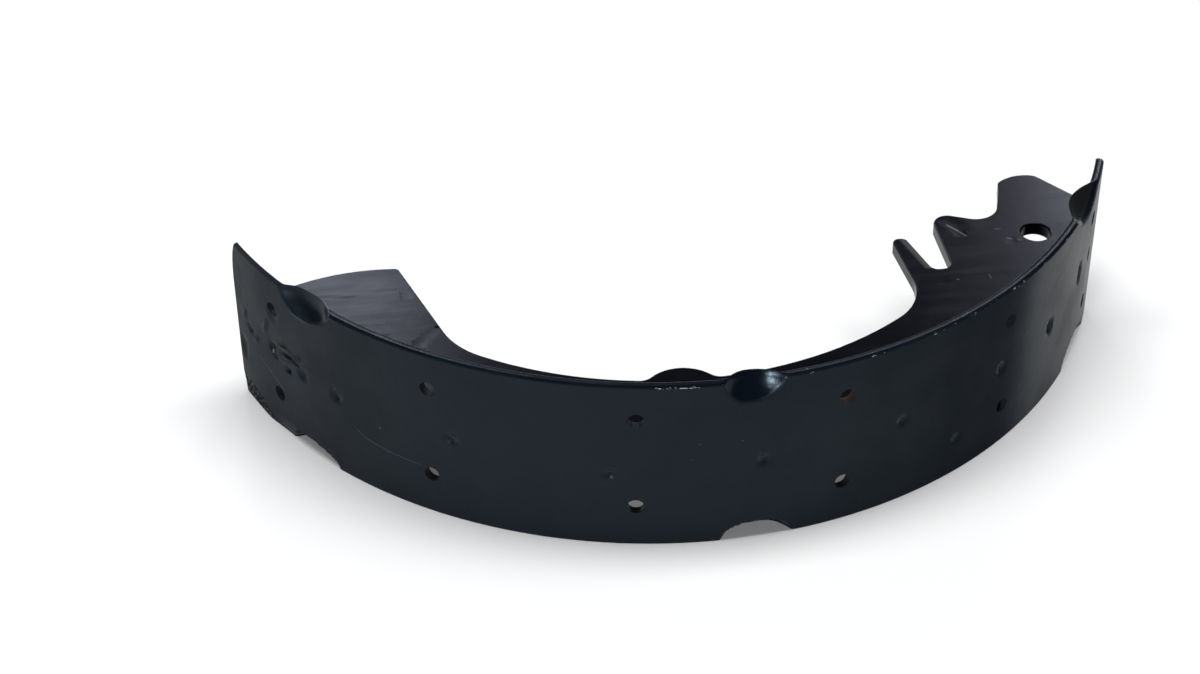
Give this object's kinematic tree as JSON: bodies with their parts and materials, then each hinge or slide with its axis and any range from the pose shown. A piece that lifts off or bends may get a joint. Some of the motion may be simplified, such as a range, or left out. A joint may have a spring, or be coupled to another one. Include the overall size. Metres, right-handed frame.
{
  "type": "drum brake shoe",
  "caption": "Bare drum brake shoe for a riveted lining: a rolled table with pierced rivet holes and pressed rest pads, welded to a flat web with finger, slot and stepped end.",
  "frame": {"origin": "the middle of the table's outer face, on its lower edge, which the shoe stands on; the drum's axis stands upright at y = 0.1245", "axes": "+Z along the drum's axis, up; +Y from the middle of the table towards the drum's axis; +X towards the slotted heel end, so the plain toe end is at -X"},
  "size_m": [0.2328, 0.1049, 0.05],
  "materials": {
    "table_paint": "semi-gloss black dip paint over sheet steel, worn through to bright steel in specks at the edges",
    "web_paint": "semi-gloss black dip paint over steel plate, scuffed and dusty on its flat"
  },
  "bodies": {
    "root": {"shoe_table": "table_paint", "shoe_web": "web_paint"}
  },
  "joints": []
}
